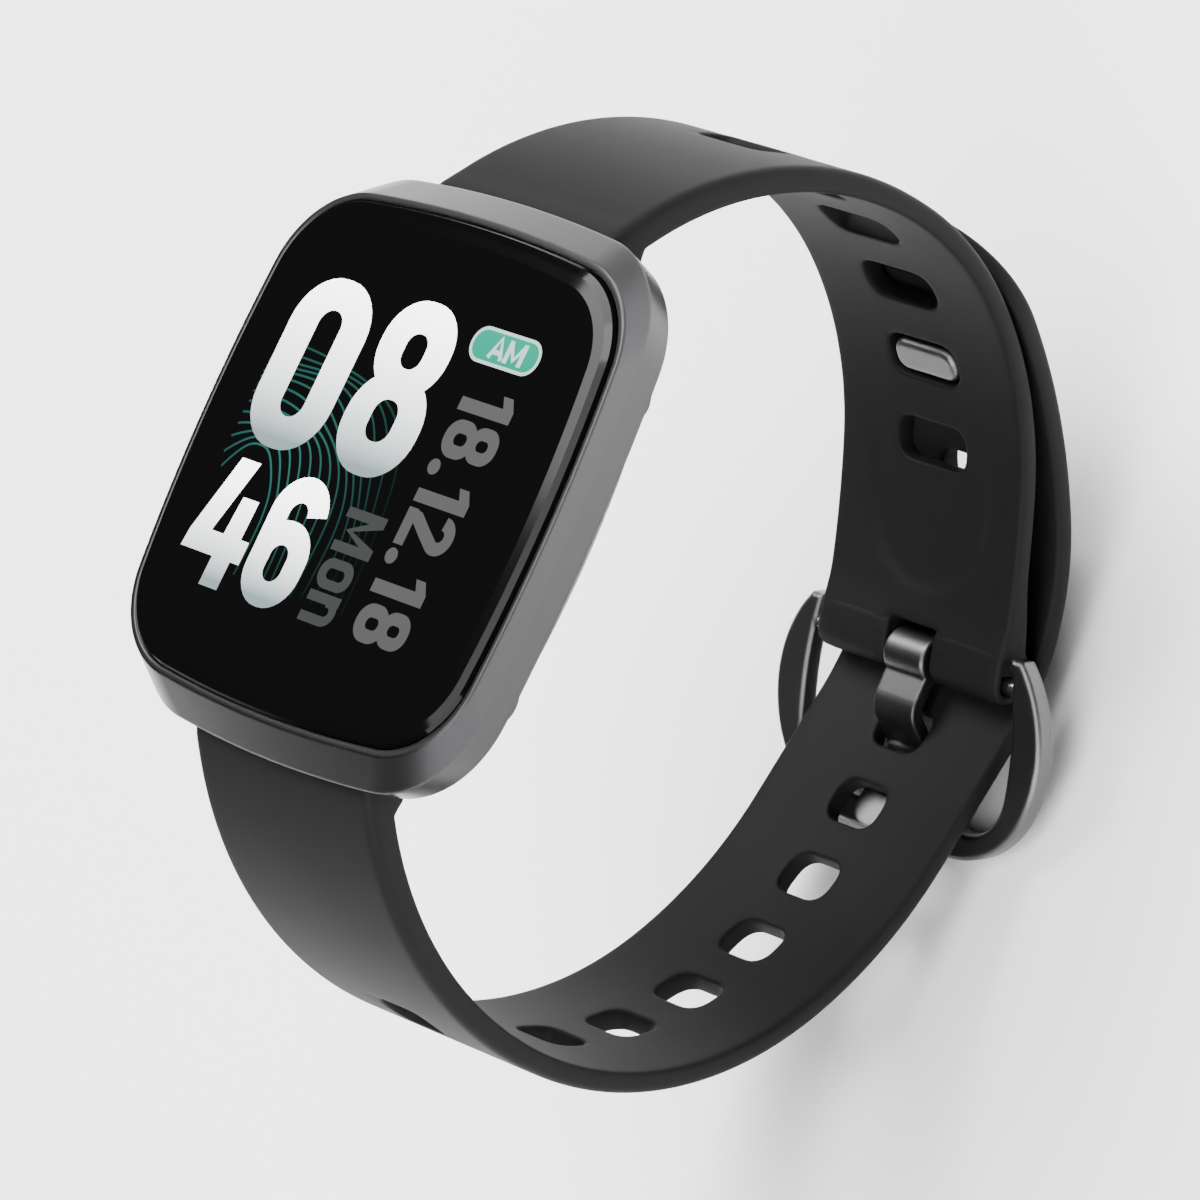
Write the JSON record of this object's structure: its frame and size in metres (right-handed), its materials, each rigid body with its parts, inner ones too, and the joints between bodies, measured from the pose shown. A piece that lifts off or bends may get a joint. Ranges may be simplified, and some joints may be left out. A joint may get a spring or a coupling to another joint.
{
  "type": "smartwatch",
  "caption": "Square-faced smartwatch with rounded glass, a metal case, and a perforated silicone strap closed by a tongue buckle and a keeper stud.",
  "frame": {"origin": "middle of the flat of the sensor window, the back face that rests on the wrist", "axes": "+X is 3 o'clock, +Y is 12 o'clock, +Z points out of the display"},
  "size_m": [0.0388, 0.0697, 0.0651],
  "materials": {
    "case_metal": "satin gunmetal anodised",
    "cover_glass": "gloss black, rounded border",
    "adhesive": "matte black adhesive and seals",
    "display": "dark panel",
    "ribbon": "amber film",
    "board_green": "solder mask",
    "chip_black": "moulded chip packages",
    "plate_metal": "stamped plate",
    "battery_wrap": "foil pouch",
    "motor_steel": "deep drawn can",
    "rotor_tungsten": "sintered weight",
    "back_plastic": "fine matte black",
    "screw_steel": "blackened",
    "sensor_glass": "gloss dark window",
    "diode": "clear green diodes",
    "contact_gold": "gold plated",
    "magnet_nickel": "nickel plated",
    "strap_silicone": "matte charcoal silicone",
    "buckle_metal": "polished gunmetal",
    "stud_metal": "satin gunmetal",
    "bar_steel": "bright"
  },
  "bodies": {
    "case": {"case_frame": "case_metal", "glass_adhesive": "adhesive", "cover_glass": "cover_glass", "display_panel": "display", "display_flex": "ribbon", "mid_plate": "plate_metal", "main_board": "board_green", "board_chips": "chip_black", "battery": "battery_wrap", "motor_housing": "motor_steel", "antenna_strip": "ribbon", "back_gasket": "adhesive", "back_cover": "back_plastic", "back_screws": "screw_steel", "sensor_window": "sensor_glass", "sensor_board": "board_green", "sensor_diodes": "diode", "charging_contacts": "contact_gold", "charging_magnets": "magnet_nickel"},
    "motor_rotor": {"motor_rotor": "rotor_tungsten"},
    "upper_strap_root": {"upper_strap_root": "strap_silicone", "upper_bar_tube": "bar_steel", "upper_bar_spring": "bar_steel"},
    "upper_bar_plunger": {"upper_bar_plunger": "bar_steel"},
    "upper_strap_end": {"upper_strap_end": "strap_silicone"},
    "lower_strap_root": {"lower_strap_root": "strap_silicone", "lower_bar_tube": "bar_steel", "lower_bar_spring": "bar_steel"},
    "lower_bar_plunger": {"lower_bar_plunger": "bar_steel"},
    "lower_strap_end": {"lower_strap_end": "strap_silicone"},
    "lower_strap_tail": {"lower_strap_tail": "strap_silicone", "keeper_stud": "stud_metal"},
    "buckle_frame": {"buckle_frame": "buckle_metal", "buckle_pin": "bar_steel"},
    "buckle_tongue": {"buckle_tongue": "buckle_metal"}
  },
  "joints": [
    {"name": "upper_strap_sway", "type": "hinge", "parent": "case", "child": "upper_strap_root", "pos_m": [0, 0.0189, 0.0056], "axis": [1, 0, 0], "range_deg": [-4, 4]},
    {"name": "lower_strap_sway", "type": "hinge", "parent": "case", "child": "lower_strap_root", "pos_m": [0, -0.0189, 0.0056], "axis": [1, 0, 0], "range_deg": [-4.1, 4.1]},
    {"name": "upper_strap_flex", "type": "hinge", "parent": "upper_strap_root", "child": "upper_strap_end", "pos_m": [0, 0.03396, -0.01903], "axis": [1, 0, 0], "range_deg": [-2.3, 2.3]},
    {"name": "lower_strap_flex", "type": "hinge", "parent": "lower_strap_root", "child": "lower_strap_end", "pos_m": [0, -0.03317, -0.01893], "axis": [1, 0, 0], "range_deg": [-2.3, 2.3]},
    {"name": "tail_peel", "type": "hinge", "parent": "lower_strap_end", "child": "lower_strap_tail", "pos_m": [0, 0.01851, -0.04765], "axis": [-1, 0, 0], "range_deg": [0, 30]},
    {"name": "buckle_swing", "type": "hinge", "parent": "upper_strap_end", "child": "buckle_frame", "pos_m": [0, 0.00676, -0.0474], "axis": [1, 0, 0], "range_deg": [0, 3]},
    {"name": "tongue_swing", "type": "hinge", "parent": "buckle_frame", "child": "buckle_tongue", "pos_m": [0, 0.00676, -0.0474], "axis": [1, 0, 0], "range_deg": [0, 3]},
    {"name": "upper_bar_release", "type": "slide", "parent": "upper_strap_root", "child": "upper_bar_plunger", "axis": [-1, 0, 0], "range_m": [0, 0.0012], "deforming": ["upper_bar_spring"]},
    {"name": "lower_bar_release", "type": "slide", "parent": "lower_strap_root", "child": "lower_bar_plunger", "axis": [-1, 0, 0], "range_m": [0, 0.0012], "deforming": ["lower_bar_spring"]},
    {"name": "motor_spin", "type": "hinge", "parent": "case", "child": "motor_rotor", "pos_m": [0.0104, 0, 0.0043], "axis": [0, 0, 1], "continuous": true}
  ],
  "couplings": [
    {"joint": "lower_strap_sway", "follows": "upper_strap_sway", "ratio": 1.0023},
    {"joint": "upper_strap_flex", "follows": "upper_strap_sway", "ratio": -0.5623},
    {"joint": "lower_strap_flex", "follows": "upper_strap_sway", "ratio": -0.5646}
  ]
}
